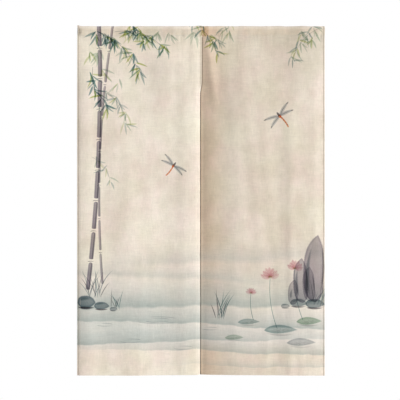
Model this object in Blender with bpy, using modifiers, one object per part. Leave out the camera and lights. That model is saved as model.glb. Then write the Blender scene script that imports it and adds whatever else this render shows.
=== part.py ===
"""A noren curtain: two lengths of linen-look cloth on one rod pocket line, split at the centre.

Units are metres, +Z is up and the front faces -Y. The origin is on the axis of the rod pocket,
at the centre of the width. Each length is a panel and, parted from it at the stitch line, the
rod pocket that its turned-over top makes. The left length hangs in front at the slit.
"""
from collections import namedtuple
from math import acos, cos, exp, pi, sin

import bmesh
import bpy

# Overall size
WIDTH = 0.850
HEIGHT = 1.200
HALF = WIDTH / 2

# Cloth, single and doubled at a hem
CLOTH = 0.0012
DOUBLED = 2 * CLOTH
SIDE_HEM = 0.013
BOTTOM_HEM = 0.017
HEM_STEP = 0.0015
GAP = 0.0003

# Rod pocket: a round tube for a rod of about 19 mm, drawn in to the stitch line below it
POCKET_RADIUS = 0.0095 + CLOTH
SEAM_RADIUS = 0.0016
SEAM_DROP = 0.0233
EAR_RISE = 0.0035
EAR_LENGTH = 0.018
ARC_STEPS = 14
SIDE_STEPS = 3
SEAM_STEPS = 3
EAR_STEPS = 3
LEFT_POCKET_STEPS = 6
NEST_STEPS = 4
RIGHT_POCKET_STEPS = 8

# The two lengths overlap at the centre, where the left pocket's end widens over the right one's
SLIT_EDGE_TOP = 0.0050
SLIT_EDGE_BELOW = -0.0015
SLIT_STEP_TOP = -0.175
SLIT_STEP_FOOT = -0.225
TUCKED_EDGE = -0.0045
NEST = CLOTH + 0.00035
NEST_START = -0.027
NEST_FULL = -0.007
NEST_END = 0.007
NEST_RETURN = 0.020
FRONT_HEM_Y = -0.0028
BACK_HEM_Y = 0.0
HEM_BLEND = 0.035

# The cloth hangs straight at the stitch line and has its full sway this far down
HANG_TOP = -0.025
HANG_FULL = -0.270

# Grid cells across and down each panel
PANEL_COLUMNS = 20
PANEL_ROWS = 26

CLOTH_COLOUR = (0.80, 0.71, 0.60, 1.0)
CLOTH_ROUGHNESS = 0.9

# A soft fold: its place across and the push towards the front, its half width, where it starts
# and ends down the cloth, and how far it drifts across for each metre of height
Fold = namedtuple("Fold", "across push width top foot drift")
FOLD_EASE = 0.12
LEFT_FOLDS = (
    Fold(across=-0.392, push=0.0018, width=0.020, top=-0.05, foot=-1.30, drift=0.00),
    Fold(across=-0.325, push=-0.0022, width=0.026, top=-0.55, foot=-1.30, drift=0.02),
    Fold(across=-0.255, push=0.0020, width=0.024, top=-0.35, foot=-1.30, drift=-0.02),
    Fold(across=-0.162, push=-0.0026, width=0.020, top=-0.03, foot=-0.30, drift=0.00),
    Fold(across=-0.112, push=0.0024, width=0.018, top=-0.03, foot=-0.32, drift=0.02),
    Fold(across=-0.135, push=-0.0016, width=0.026, top=-0.45, foot=-1.30, drift=0.00),
    Fold(across=-0.050, push=0.0044, width=0.022, top=-0.10, foot=-1.30, drift=0.00),
)
RIGHT_FOLDS = (
    Fold(across=0.115, push=0.0014, width=0.022, top=-0.45, foot=-1.30, drift=0.02),
    Fold(across=0.150, push=0.0020, width=0.030, top=-0.06, foot=-0.42, drift=-0.03),
    Fold(across=0.262, push=-0.0020, width=0.026, top=-0.20, foot=-1.30, drift=0.00),
    Fold(across=0.308, push=0.0024, width=0.016, top=-0.25, foot=-1.30, drift=0.00),
    Fold(across=0.372, push=-0.0012, width=0.018, top=-0.10, foot=-1.30, drift=0.01),
)

# Sway of the two panels: slopes, curls at their edges and a swing at the foot
LEFT_SLOPE = 0.036
LEFT_OUTER_CURL = 0.0016
LEFT_SLIT_CURL = 0.0034
RIGHT_CROWN = 0.20
RIGHT_CROWN_FORWARD = 0.0085
RIGHT_SLIT_DEPTH = 0.0205
RIGHT_SLIT_POWER = 2.2
RIGHT_SLIT_CURL = 0.0022
RIGHT_OUTER_DEPTH = 0.0022
RIGHT_OUTER_CURL = 0.0034
FOOT_SWING = 0.0020
FOOT_SWING_TOP = -0.82
FOOT_UNEVEN = 0.0009
FOOT_WAVES = 9.0
FOOT_WAVE_START = 0.6


def ease(value, start, end):
    """0 up to start, 1 past end and a smooth change between them; end may be the lower one."""
    share = min(1.0, max(0.0, (value - start) / (end - start)))
    return share * share * (3 - 2 * share)


def even(start, end, steps):
    """Even values from just past start up to end."""
    return [start + (end - start) * i / steps for i in range(1, steps + 1)]


def fold_depth(table, x, z):
    """How far back the soft folds of a panel set its cloth; a push forward is below 0."""
    depth = 0.0
    for fold in table:
        off = (x - fold.across - fold.drift * (z - fold.top)) / fold.width
        started = ease(z, fold.top, fold.top - FOLD_EASE)
        ended = ease(z, fold.foot, fold.foot + FOLD_EASE)
        depth -= fold.push * started * ended * exp(-0.5 * off * off)
    return depth


def left_front(x, z):
    """The left panel's front face: it slopes back to the slit, past a soft ridge near it."""
    seam = -CLOTH / 2 + (FRONT_HEM_Y + CLOTH / 2) * ease(x, -SIDE_HEM - HEM_BLEND, -SIDE_HEM)
    sway = LEFT_SLOPE * (x + HALF / 2)
    sway += LEFT_OUTER_CURL * ease(x, -HALF + SIDE_HEM, -HALF)
    sway += LEFT_SLIT_CURL * ease(x, -2 * SIDE_HEM, SLIT_EDGE_TOP)
    sway -= FOOT_SWING * ease(z, FOOT_SWING_TOP, -HEIGHT) * sin(pi * (x + HALF) / HALF)
    return seam + sway * ease(z, HANG_TOP, HANG_FULL) + fold_depth(LEFT_FOLDS, x, z)


def right_front(x, z):
    """The right panel's front face: it comes forward from behind the slit to a broad crown."""
    seam = BACK_HEM_Y - (BACK_HEM_Y + CLOTH / 2) * ease(x, SIDE_HEM, SIDE_HEM + HEM_BLEND)
    to_slit = max(0.0, (RIGHT_CROWN - x) / RIGHT_CROWN)
    to_edge = max(0.0, (x - RIGHT_CROWN) / (HALF - RIGHT_CROWN))
    sway = RIGHT_SLIT_DEPTH * to_slit ** RIGHT_SLIT_POWER + RIGHT_OUTER_DEPTH * to_edge ** 2
    sway -= RIGHT_CROWN_FORWARD
    sway += RIGHT_SLIT_CURL * ease(x, 2 * SIDE_HEM, TUCKED_EDGE)
    sway += RIGHT_OUTER_CURL * ease(x, HALF - 3 * SIDE_HEM, HALF)
    sway += FOOT_SWING * ease(z, FOOT_SWING_TOP, -HEIGHT) * sin(pi * x / HALF)
    return seam + sway * ease(z, HANG_TOP, HANG_FULL) + fold_depth(RIGHT_FOLDS, x, z)


def seam_z(x):
    """The top of both panels, just under the stitch line of the pocket above."""
    nested = ease(x, NEST_START, NEST_FULL) * (1 - ease(x, NEST_END, NEST_RETURN))
    return -(SEAM_DROP + SEAM_RADIUS + GAP + NEST * nested)


def foot_z(x):
    """The bottom edge, which isn't quite level."""
    return POCKET_RADIUS - HEIGHT + FOOT_UNEVEN * (1 + sin(FOOT_WAVES * x + FOOT_WAVE_START))


def slit_edge(z):
    """The left panel's inner edge, which reaches a little further across near the top."""
    step = ease(z, SLIT_STEP_TOP, SLIT_STEP_FOOT)
    return SLIT_EDGE_TOP + (SLIT_EDGE_BELOW - SLIT_EDGE_TOP) * step


def cell_lines(length, hem, far_hem, cells):
    """Distances along one side of a panel, with lines at its hems and even cells between."""
    low = hem + HEM_STEP
    high = length - (far_hem + HEM_STEP if far_hem else 0.0)
    lines = [0.0, hem, low] + even(low, high, cells)
    if far_hem:
        lines += [length - far_hem, length]
    return lines


def grid(name, across, up):
    """A grid with that many points across and up, and each point's column and row."""
    bm = bmesh.new()
    bmesh.ops.create_grid(bm, x_segments=across - 1, y_segments=up - 1, size=1.0)
    bm.verts.index_update()
    places = []
    for vert in bm.verts:
        column = round((vert.co.x + 1) / 2 * (across - 1))
        row = round((vert.co.y + 1) / 2 * (up - 1))
        places.append((column, row))
    mesh = bpy.data.meshes.new(name)
    bm.to_mesh(mesh)
    bm.free()
    return mesh, places


def thicken(part, thickness):
    """Gives a part's front or outer face its thickness, inwards."""
    wall = part.modifiers.new("cloth", "SOLIDIFY")
    wall.thickness = thickness
    wall.offset = -1.0
    return wall


def cloth_material():
    """Matt warm off-white cloth."""
    material = bpy.data.materials.new("linen_look_cloth")
    material.use_nodes = True
    shader = material.node_tree.nodes["Principled BSDF"]
    shader.inputs["Base Color"].default_value = CLOTH_COLOUR
    shader.inputs["Roughness"].default_value = CLOTH_ROUGHNESS
    shader.inputs["Metallic"].default_value = 0.0
    material.diffuse_color = CLOTH_COLOUR
    return material


def add_part(name, mesh, material, hung_from):
    """Puts a mesh in the scene as a named part that hangs from the pocket's axis."""
    own = material.copy()
    own.name = name
    mesh.materials.append(own)
    mesh.shade_smooth()
    part = bpy.data.objects.new(name, mesh)
    hung_from.users_collection[0].objects.link(part)
    part.parent = hung_from
    return part


def add_panel(name, edges, front, material, hung_from):
    """One hanging length: its front face as a grid, thickened to the back, double at the hems."""
    across = cell_lines(HALF, SIDE_HEM, SIDE_HEM, PANEL_COLUMNS)
    up = cell_lines(HEIGHT, BOTTOM_HEM, 0.0, PANEL_ROWS)
    mesh, places = grid(name, len(across), len(up))
    last = len(across) - 1
    at_hems = []
    for vert, (column, row) in zip(mesh.vertices, places):
        rise = up[row] / up[-1]
        left, right = edges(foot_z(0.0) + rise * (seam_z(HALF) - foot_z(0.0)))
        x = left + across[column] / HALF * (right - left)
        z = foot_z(x) + rise * (seam_z(x) - foot_z(x))
        vert.co = (x, front(x, z), z)
        if column in (0, 1, last - 1, last) or row in (0, 1):
            at_hems.append(vert.index)
    panel = add_part(name, mesh, material, hung_from)
    doubled = panel.vertex_groups.new(name="doubled")
    doubled.add(at_hems, 1.0, "REPLACE")
    wall = thicken(panel, DOUBLED)
    wall.vertex_group = doubled.name
    wall.thickness_vertex_group = CLOTH / DOUBLED
    return panel


def on_circle(drop, radius, angle):
    """The point (y, z) of a circle below the axis; the angle runs from down, by the front, to up."""
    return -radius * sin(angle), -drop - radius * cos(angle)


def pocket_section(spread):
    """The outside of a pocket, from the stitch line up the front, over and down the back."""
    turn = acos((POCKET_RADIUS - SEAM_RADIUS) / SEAM_DROP)
    angles = [turn * i / SEAM_STEPS for i in range(SEAM_STEPS + 1)]
    front = [on_circle(SEAM_DROP, SEAM_RADIUS + spread, angle) for angle in angles]
    low_y, low_z = front[-1]
    high_y, high_z = on_circle(0.0, POCKET_RADIUS + spread, turn)
    for share in even(0.0, 1.0, SIDE_STEPS)[:-1]:
        front.append((low_y + share * (high_y - low_y), low_z + share * (high_z - low_z)))
    over = []
    for i in range(ARC_STEPS + 1):
        angle = turn + 2 * (pi - turn) * i / ARC_STEPS
        over.append(on_circle(0.0, POCKET_RADIUS + spread, angle))
    return front + over + [(-y, z) for y, z in reversed(front)]


def add_pocket(name, lines, spread_at, ear, material, hung_from):
    """An open sleeve along X: a rolled grid whose seam is closed, thickened inwards."""
    points = len(pocket_section(0.0))
    mesh, places = grid(name, len(lines), points)
    for vert, (column, row) in zip(mesh.vertices, places):
        x = lines[column]
        y, z = pocket_section(spread_at(x))[row]
        lift = ear * ease(x, EAR_LENGTH - HALF, -HALF) * max(0.0, z) / POCKET_RADIUS
        vert.co = (x, y, z + lift)
    bm = bmesh.new()
    bm.from_mesh(mesh)
    bmesh.ops.remove_doubles(bm, verts=bm.verts, dist=0.00001)
    bm.to_mesh(mesh)
    bm.free()
    pocket = add_part(name, mesh, material, hung_from)
    thicken(pocket, CLOTH)
    return pocket


def main():
    for thing in list(bpy.data.objects):
        bpy.data.objects.remove(thing)
    collection = bpy.data.collections.new("noren_curtain")
    bpy.context.scene.collection.children.link(collection)
    rod_line = bpy.data.objects.new("rod_line", None)
    collection.objects.link(rod_line)
    material = cloth_material()

    add_panel("left_panel", lambda z: (-HALF, slit_edge(z)), left_front, material, rod_line)
    add_panel("right_panel", lambda z: (TUCKED_EDGE, HALF), right_front, material, rod_line)

    ear_end = EAR_LENGTH - HALF
    left_lines = [-HALF] + even(-HALF, ear_end, EAR_STEPS)
    left_lines += even(ear_end, NEST_START, LEFT_POCKET_STEPS)
    left_lines += even(NEST_START, NEST_FULL, NEST_STEPS) + [SLIT_EDGE_TOP]
    right_lines = [TUCKED_EDGE] + even(TUCKED_EDGE, HALF, RIGHT_POCKET_STEPS)
    add_pocket(
        "left_rod_pocket",
        left_lines,
        lambda x: NEST * ease(x, NEST_START, NEST_FULL),
        EAR_RISE,
        material,
        rod_line,
    )
    add_pocket("right_rod_pocket", right_lines, lambda x: 0.0, 0.0, material, rod_line)


main()
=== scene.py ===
# %% [markdown]
# # A noren curtain in printed linen-look cloth
#
# A noren is a split curtain for a doorway. This one is two lengths of cloth on one rod: each is
# hemmed along its sides and foot, and its top is turned over to the back and stitched down, which
# makes the rod pocket. The solids of the frame give the real size and the way the cloth hangs.
# Here each length becomes one continuous thin sheet with rounded hems, creases, real stitches and
# a printed front.
#
# Units are metres, +Z is up and the front faces -Y.

# %% Load the frame
import math
import random
from collections import namedtuple

import bpy
import numpy as np
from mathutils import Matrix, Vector


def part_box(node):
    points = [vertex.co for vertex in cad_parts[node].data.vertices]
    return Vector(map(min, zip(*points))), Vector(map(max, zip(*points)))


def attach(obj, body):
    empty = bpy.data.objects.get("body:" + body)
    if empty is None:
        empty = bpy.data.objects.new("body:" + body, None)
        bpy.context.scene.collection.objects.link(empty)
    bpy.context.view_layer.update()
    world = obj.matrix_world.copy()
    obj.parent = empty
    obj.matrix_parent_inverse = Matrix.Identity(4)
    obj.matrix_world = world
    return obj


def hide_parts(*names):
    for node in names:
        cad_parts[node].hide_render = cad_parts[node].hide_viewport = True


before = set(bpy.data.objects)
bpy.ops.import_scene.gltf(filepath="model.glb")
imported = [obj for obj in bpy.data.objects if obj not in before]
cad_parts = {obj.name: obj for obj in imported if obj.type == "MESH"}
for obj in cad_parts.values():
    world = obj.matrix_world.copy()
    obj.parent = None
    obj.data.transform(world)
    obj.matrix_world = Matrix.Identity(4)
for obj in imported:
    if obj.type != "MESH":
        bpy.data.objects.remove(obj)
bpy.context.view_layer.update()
print("nodes:", ", ".join(sorted(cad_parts)))

# %% [markdown]
# ## Sizes read from the frame
#
# The outline isn't typed again: the solids already hold it. The right pocket is plain, so its top
# gives the pocket's radius, and the panels give the half width, the foot and the two edges that
# lap at the slit. The left edge steps back a little way down, which a box can't say, so that step
# is named. A folded edge is rounder than a solid's, so the slit edge is set in by the slit turn.

# %% Sizes of the curtain
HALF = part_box("right_panel")[1][0]
POCKET_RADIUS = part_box("right_rod_pocket")[1][2]
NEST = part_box("left_rod_pocket")[1][1] - POCKET_RADIUS
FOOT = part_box("left_panel")[0][2]
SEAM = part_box("right_panel")[1][2]
SLIT_TURN = 0.0016
SOLID_EDGE_BELOW = -0.0015
SLIT_EDGE_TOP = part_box("left_panel")[1][0] - SLIT_TURN
SLIT_EDGE_BELOW = SOLID_EDGE_BELOW - SLIT_TURN
SLIT_STEP_TOP = -0.175
SLIT_STEP_FOOT = -0.225
TUCKED_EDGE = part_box("right_panel")[0][0]
CENTRE_Z = (FOOT + POCKET_RADIUS) / 2
print("half width", round(HALF, 4), "pocket radius", round(POCKET_RADIUS, 4), "seam", round(SEAM, 4))

# %% [markdown]
# The solids stand in for real cloth with thicker walls. The real cloth is half a millimetre thick
# and about double that at its hems. In the lap at the slit, the left pocket's tail goes round
# behind the right pocket, further back than a tail elsewhere.

# %% Sizes of the cloth
CLOTH = 0.00055
HEM_THICK = 0.0012
SIDE_HEM = 0.013
BOTTOM_HEM = 0.017
TAIL = 0.005
LAYER_GAP = 0.00005
LAP_WRAP = 0.0043
print("cloth", 1000 * CLOTH, "mm, hems", 1000 * HEM_THICK, "mm thick")


# %% Small helpers
def deselect():
    """Operators act on all that is selected, and a loaded frame leaves its nodes selected."""
    for thing in bpy.context.selected_objects:
        thing.select_set(False)


def ease(value, start, end):
    """0 up to start, 1 past end and a smooth change between them; end may be the lower one."""
    share = np.clip((np.asarray(value, float) - start) / (end - start), 0.0, 1.0)
    return share * share * (3 - 2 * share)


def hump(value, centre, width):
    """A soft hill of height 1 at its centre."""
    return np.exp(-0.5 * ((np.asarray(value, float) - centre) / width) ** 2)


print("half way through an ease:", float(ease(0.5, 0, 1)))

# %% [markdown]
# ## How the cloth hangs
#
# Cloth on a rod hangs straight at the stitch line and takes its sway further down. The left length
# slopes back to the slit past a soft ridge, and the right one comes forward from behind it to a
# broad crown. Beside the slit both turn back right under the pocket. The sway and most of the main
# folds are the solids' own, a little stronger beside the slit, and small creases are added. Each
# row of a table is one soft ridge (a push towards the front above 0) or trough (below 0), with its
# place across, its half width, where it starts and ends down the cloth, and how far it drifts
# across on the way.

# %% Folds of both lengths
Fold = namedtuple("Fold", "across push width top foot drift")
FOLD_EASE = 0.12


def folds(*rows):
    return tuple(Fold(*row) for row in rows)


LEFT_FOLDS = folds(
    (-0.392, 0.0018, 0.020, -0.05, -1.30, 0.00),
    (-0.325, -0.0022, 0.026, -0.55, -1.30, 0.02),
    (-0.255, 0.0020, 0.024, -0.35, -1.30, -0.02),
    (-0.122, 0.0034, 0.034, -0.01, -0.34, 0.02),
    (-0.135, -0.0016, 0.026, -0.45, -1.30, 0.00),
    (-0.050, 0.0044, 0.022, -0.10, -1.30, 0.00),
)
RIGHT_FOLDS = folds(
    (0.010, 0.0034, 0.011, 0.06, -0.30, -0.12),
    (0.115, 0.0012, 0.024, -0.45, -1.30, 0.00),
    (0.135, 0.0016, 0.030, -0.06, -0.42, -0.01),
    (0.262, -0.0020, 0.026, -0.20, -1.30, 0.00),
    (0.308, 0.0024, 0.016, -0.25, -1.30, 0.00),
)
LEFT_CREASES = folds(
    (-0.205, 0.0005, 0.007, -0.70, -1.30, 0.01),
    (-0.182, -0.0005, 0.008, -0.62, -1.30, 0.00),
    (-0.088, -0.0005, 0.006, -0.05, -0.24, 0.00),
    (-0.300, 0.0005, 0.009, -0.12, -0.60, -0.02),
    (-0.024, -0.0004, 0.004, -0.06, -1.30, 0.00),
)
RIGHT_CREASES = folds(
    (0.060, -0.0005, 0.008, -0.05, -0.45, 0.00),
    (0.226, 0.0005, 0.007, -0.80, -1.30, 0.00),
    (0.248, -0.0006, 0.008, -0.74, -1.30, 0.01),
    (0.345, 0.0006, 0.008, -0.76, -1.30, 0.00),
    (0.292, -0.0006, 0.007, -0.40, -1.30, 0.00),
)


def fold_depth(table, x, z):
    """How far back the soft folds of a length set its cloth; a push forward is below 0."""
    depth = np.zeros(np.broadcast(x, z).shape)
    for fold in table:
        off = x - fold.across - fold.drift * (z - fold.top)
        there = ease(z, fold.top, fold.top - FOLD_EASE) * ease(z, fold.foot, fold.foot + FOLD_EASE)
        depth = depth - fold.push * there * hump(off, 0.0, fold.width)
    return depth


print("folds:", len(LEFT_FOLDS + RIGHT_FOLDS), "creases:", len(LEFT_CREASES + RIGHT_CREASES))

# %% Sway of both lengths
HANG_TOP = -0.025
HANG_FULL = -0.270
FRONT_HEM_Y = -0.0028
FRONT_Y = -0.0006
HEM_BLEND = 0.035
LEFT_SLOPE = 0.036
LEFT_OUTER_CURL = 0.0016
LEFT_SLIT_CURL = 0.0046
LEFT_EARLY_TURN = 0.0018
RIGHT_CROWN = 0.20
RIGHT_CROWN_FORWARD = 0.0085
RIGHT_SLIT_DEPTH = 0.0205
RIGHT_SLIT_POWER = 2.2
RIGHT_SLIT_CURL = 0.0022
RIGHT_SLIT_SWELL = 0.0020
RIGHT_EARLY_TURN = 0.0026
RIGHT_OUTER_DEPTH = 0.0022
RIGHT_OUTER_CURL = 0.0034
FOOT_SWING = 0.0020
FOOT_SWING_TOP = -0.82


def early_turn(z):
    """How much a length turns back beside the slit before it has its full sway."""
    return ease(z, -0.022, -0.060) * ease(z, -0.260, -0.120)


def foot_swing(x, z):
    """The foot of a length swings to the front or the back in the middle of its width."""
    return FOOT_SWING * ease(z, FOOT_SWING_TOP, FOOT) * np.sin(math.pi * x / HALF)


# %% Front faces of both lengths
def left_front(x, z):
    """Depth of the left length's front face."""
    seam = FRONT_Y + (FRONT_HEM_Y - FRONT_Y) * ease(x, -SIDE_HEM - HEM_BLEND, -SIDE_HEM)
    sway = LEFT_SLOPE * (x + HALF / 2) + LEFT_OUTER_CURL * ease(x, SIDE_HEM - HALF, -HALF)
    sway += LEFT_SLIT_CURL * ease(x, -2 * SIDE_HEM, SLIT_EDGE_TOP)
    sway -= foot_swing(x + HALF, z)
    turn = LEFT_EARLY_TURN * ease(x, -2.5 * SIDE_HEM, SLIT_EDGE_TOP) * early_turn(z)
    depth = fold_depth(LEFT_FOLDS + LEFT_CREASES, x, z)
    return seam + sway * ease(z, HANG_TOP, HANG_FULL) + turn + depth


def right_front(x, z):
    """Depth of the right length's front face."""
    seam = FRONT_Y * ease(x, SIDE_HEM, SIDE_HEM + HEM_BLEND)
    to_slit = np.maximum(0.0, (RIGHT_CROWN - x) / RIGHT_CROWN)
    to_edge = np.maximum(0.0, (x - RIGHT_CROWN) / (HALF - RIGHT_CROWN))
    sway = RIGHT_SLIT_DEPTH * to_slit ** RIGHT_SLIT_POWER + RIGHT_OUTER_DEPTH * to_edge ** 2
    sway += RIGHT_SLIT_CURL * ease(x, 2 * SIDE_HEM, TUCKED_EDGE) - RIGHT_CROWN_FORWARD
    sway += RIGHT_SLIT_SWELL * ease(x, 0.060, -0.020)
    sway += RIGHT_OUTER_CURL * ease(x, HALF - 3 * SIDE_HEM, HALF)
    sway += foot_swing(x, z)
    turn = RIGHT_EARLY_TURN * ease(x, 0.035, -0.008) * early_turn(z)
    depth = fold_depth(RIGHT_FOLDS + RIGHT_CREASES, x, z)
    return seam + sway * ease(z, HANG_TOP, HANG_FULL) + turn + depth


# %% Edges of both lengths
NEST_START = -0.027
NEST_FULL = -0.007
NEST_END = 0.007
NEST_RETURN = 0.020
FOOT_UNEVEN = 0.0009
FOOT_WAVES = 9.0
FOOT_WAVE_START = 0.6


def slit_edge(z):
    """The left length's inner edge, which reaches a little further across near the top."""
    step = ease(z, SLIT_STEP_TOP, SLIT_STEP_FOOT)
    return SLIT_EDGE_TOP + (SLIT_EDGE_BELOW - SLIT_EDGE_TOP) * step


def seam_z(x):
    """The stitch line, a little lower where the left pocket widens over the right one's end."""
    return SEAM - NEST * ease(x, NEST_START, NEST_FULL) * (1 - ease(x, NEST_END, NEST_RETURN))


def foot_z(x):
    """The bottom edge, which isn't quite level."""
    return FOOT + FOOT_UNEVEN * (1 + np.sin(FOOT_WAVES * x + FOOT_WAVE_START))


Length = namedtuple("Length", "name side left right front seed")
LENGTHS = (
    Length("left", -1, lambda z: -HALF + 0.0 * z, slit_edge, left_front, 11),
    Length("right", 1, lambda z: TUCKED_EDGE + 0.0 * z, lambda z: HALF + 0.0 * z, right_front, 23),
)
for length in LENGTHS:
    middle = (length.left(CENTRE_Z) + length.right(CENTRE_Z)) / 2
    print(length.name, "front half way down at y", round(float(length.front(middle, CENTRE_Z)), 4))

# %% [markdown]
# ## The path of the cloth over the rod
#
# Seen from the side, the cloth leans straight out from the stitch line to the round of the rod,
# goes over it and comes down the back to the stitch line again, and ends in a short tail. The
# same path serves every column of the sheet. It is drawn as a few points and an arc, sampled
# finely and smoothed, so that no corner stays sharp, and read by distance along the cloth. In the
# lap the left pocket goes round the right one: it is wider there, and its tail is further back.

# %% The pocket's section
PATH_STEP = 0.0004
SMOOTHED = 5


def meets_round(out, down, radius):
    """How far round from its lowest point a straight leg from the stitch line meets the round."""
    return math.acos(radius / math.hypot(out, down)) + math.atan2(out, down)


def pocket_path(spread, y_front, thick, z_seam, wrap=0.0):
    """Points (y, z) of the outside of the cloth from the stitch line over the rod to the tail."""
    tube = POCKET_RADIUS + spread
    y_tail = y_front + 2 * thick + LAYER_GAP + wrap
    leave = meets_round(-y_front, -z_seam, tube)
    arrive = 2 * math.pi - meets_round(y_tail, -z_seam, tube)
    turns = np.linspace(leave, arrive, 33)
    arc = np.stack([-tube * np.sin(turns), -tube * np.cos(turns)], axis=1)
    front = [[y_front, z_seam - TAIL], [y_front, z_seam]]
    back = [[y_tail, z_seam], [y_tail, z_seam - TAIL]]
    points = np.concatenate([front, arc, back])
    run = np.r_[0.0, np.cumsum(np.hypot(*np.diff(points, axis=0).T))]
    even = np.linspace(0.0, run[-1], int(run[-1] / PATH_STEP) + 1)
    points = np.stack([np.interp(even, run, points[:, k]) for k in range(2)], axis=1)
    padded = np.pad(points, ((SMOOTHED, SMOOTHED), (0, 0)), mode="edge")
    window = np.ones(2 * SMOOTHED + 1) / (2 * SMOOTHED + 1)
    smooth = np.stack([np.convolve(padded[:, k], window, "valid") for k in range(2)], axis=1)
    smooth[:SMOOTHED] = points[:SMOOTHED]
    smooth[-SMOOTHED:] = points[-SMOOTHED:]
    return smooth[int(round(TAIL / PATH_STEP)):]


plain = pocket_path(0.0, -CLOTH, CLOTH, SEAM)
POCKET_RUN = float(np.hypot(*np.diff(plain, axis=0).T).sum())
PANEL_RUN = float(SEAM - foot_z(0.0))
print("cloth over the rod:", round(POCKET_RUN, 4), "panel:", round(PANEL_RUN, 4))

# %% [markdown]
# ## A grid of cloth
#
# A sheet is a grid of lines across and along. Even spacing would waste points on the flat middle,
# so the lines are close together at the folded edges, along the stitches and over the rod, and
# 4 to 5 mm apart elsewhere.

# %% Lines of the grid
RIM = (0.0, 0.00008, 0.00028, 0.0006, 0.0012)
STITCH_IN = 0.002
PRESSED_IN = 0.0043
LEAST_STEP = 0.00007


def edge_lines(hem):
    """Distances from a folded edge to past its hem."""
    near_stitch = [hem - STITCH_IN + step for step in (-0.0012, -0.0005, 0.0, 0.0005, 0.0012)]
    near_step = [hem - 0.0002, hem + 0.0002, hem + 0.0018]
    near_press = [0.0026, 0.0036, 0.0043, 0.0050, 0.0062, 0.0082]
    return list(RIM) + near_press + near_stitch + near_step


def tidy(lines):
    """Sorted lines with none closer than the least step to the one before."""
    kept = []
    for line in sorted(lines):
        if not kept or line - kept[-1] > LEAST_STEP:
            kept.append(line)
    return np.array(kept)


def lines_across():
    hem = edge_lines(SIDE_HEM)
    middle = np.linspace(SIDE_HEM + 0.004, HALF - SIDE_HEM - 0.004, 97)
    return tidy(hem + list(middle) + [HALF - line for line in hem])


def lines_along():
    end = PANEL_RUN + POCKET_RUN
    foot = edge_lines(BOTTOM_HEM)
    middle = np.linspace(BOTTOM_HEM + 0.005, PANEL_RUN - 0.026, 232)
    seam = np.linspace(PANEL_RUN - 0.024, PANEL_RUN + 0.004, 20)
    over = np.linspace(PANEL_RUN + 0.0055, end - TAIL - 0.002, 50)
    back = np.linspace(end - TAIL - 0.001, end - 0.0016, 5)
    return tidy(foot + list(middle) + list(seam) + list(over) + list(back) + [end - r for r in RIM])


ACROSS = lines_across()
ALONG = lines_along()
print("grid:", len(ACROSS), "by", len(ALONG), "triangles a sheet:", 4 * len(ACROSS) * len(ALONG))

# %% [markdown]
# ## Small unevenness
#
# No cloth is a smooth function. Sewing draws it up a little: there are short gathers above and
# below the pocket's stitch line and ripples along the hems, and the middle has faint, wide
# wrinkles. Where one pocket is pushed into the other, both stay even, so that they don't meet.
# Sums of a few sine waves with seeded directions give all of these.


# %% Gathers, ripples and wrinkles
def waves(u, v, seed, count, longest, shortest, along_share):
    """A smooth pattern of about -1 to 1 from seeded sine waves; a low share keeps them upright."""
    draw = random.Random(seed)
    total = np.zeros(np.broadcast(u, v).shape)
    for _ in range(count):
        wavelength = draw.uniform(shortest, longest)
        tilt = draw.uniform(-along_share, along_share)
        phase = draw.uniform(0, 2 * math.pi)
        total = total + np.sin(2 * math.pi * (u + tilt * v) / wavelength + phase)
    return total / math.sqrt(count)


def unevenness(length, x, run, to_side):
    """How far the cloth stands proud of its even hang, outwards, in metres."""
    from_seam = run - PANEL_RUN
    near_seam = np.where(from_seam < 0, np.exp(from_seam / 0.022), np.exp(-from_seam / 0.014))
    on_pocket = ease(from_seam, 0.0, 0.004) * ease(from_seam, POCKET_RUN - TAIL, POCKET_RUN - 0.02)
    calm = np.where(from_seam < -0.01, 1.0, ease(np.abs(x), 0.009, 0.035))
    flat = ease(from_seam, -0.01, -0.10)
    gathers = (0.00050 * calm * near_seam, x, run, 7, 0.034, 0.013, 0.10)
    swell = (0.00045 * calm * on_pocket, x, run, 5, 0.110, 0.035, 0.25)
    side_ripple = (0.00022 * calm * np.exp(-to_side / 0.016), run, x, 6, 0.060, 0.018, 0.4)
    foot_ripple = (0.00026 * np.exp(-run / 0.022), x, run, 6, 0.050, 0.016, 0.4)
    wrinkles = (0.00026 * flat, x, run, 9, 0.150, 0.045, 0.12)
    dents = (0.00016 * flat, run, x, 7, 0.210, 0.080, 0.9)
    proud = 0.0
    kinds = (gathers, swell, side_ripple, foot_ripple, wrinkles, dents)
    for k, (amount, u, v, count, longest, shortest, along_share) in enumerate(kinds):
        proud = proud + amount * waves(u, v, length.seed + k, count, longest, shortest, along_share)
    return proud


trial = unevenness(LENGTHS[0], -HALF / 2 + 0.0 * ALONG, ALONG, HALF / 2)
print("along its middle the left length is uneven by up to", round(1000 * np.ptp(trial), 2), "mm")

# %% [markdown]
# ## The sheet as one closed mesh
#
# A real hem is cloth folded to the back. The sheet here is closed: an outer face, an inner face
# set back by the thickness, and shared points all round. Near an edge both faces curve in to
# meet, so the fold is round, and the inner face steps out where a hem doubles the cloth. The
# stitch lines are pressed in a little on both faces.


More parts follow.
